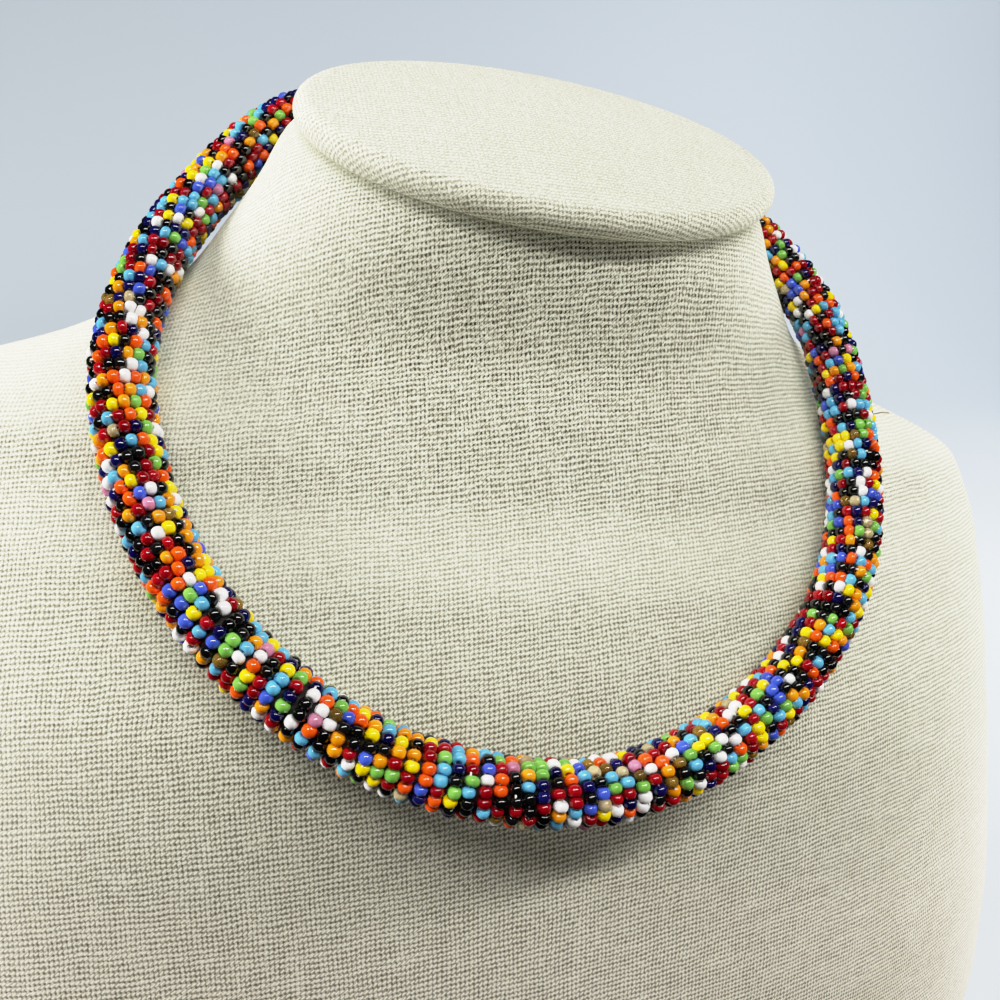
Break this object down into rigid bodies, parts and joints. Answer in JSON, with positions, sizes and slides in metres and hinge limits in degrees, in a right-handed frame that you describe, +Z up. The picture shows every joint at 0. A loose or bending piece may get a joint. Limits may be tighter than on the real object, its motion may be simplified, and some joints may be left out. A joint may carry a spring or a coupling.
{
  "type": "beaded collar necklace on a neck bust",
  "caption": "Round rope collar of multicoloured glass seed beads, lying on a cloth covered neck bust with a slanted oval top.",
  "frame": {"origin": "centre of the bounding box's underside, on the surface the bust stands on", "axes": "+Z up, the chest faces -Y, +X to the right seen from the front"},
  "size_m": [0.308, 0.136, 0.23],
  "materials": {
    "beads": "gloss",
    "linen": "matte",
    "clasp_metal": "satin"
  },
  "bodies": {
    "root": {"bust_form": "linen", "neck_cap": "linen", "beaded_rope": "beads", "clasp": "clasp_metal"}
  },
  "joints": []
}
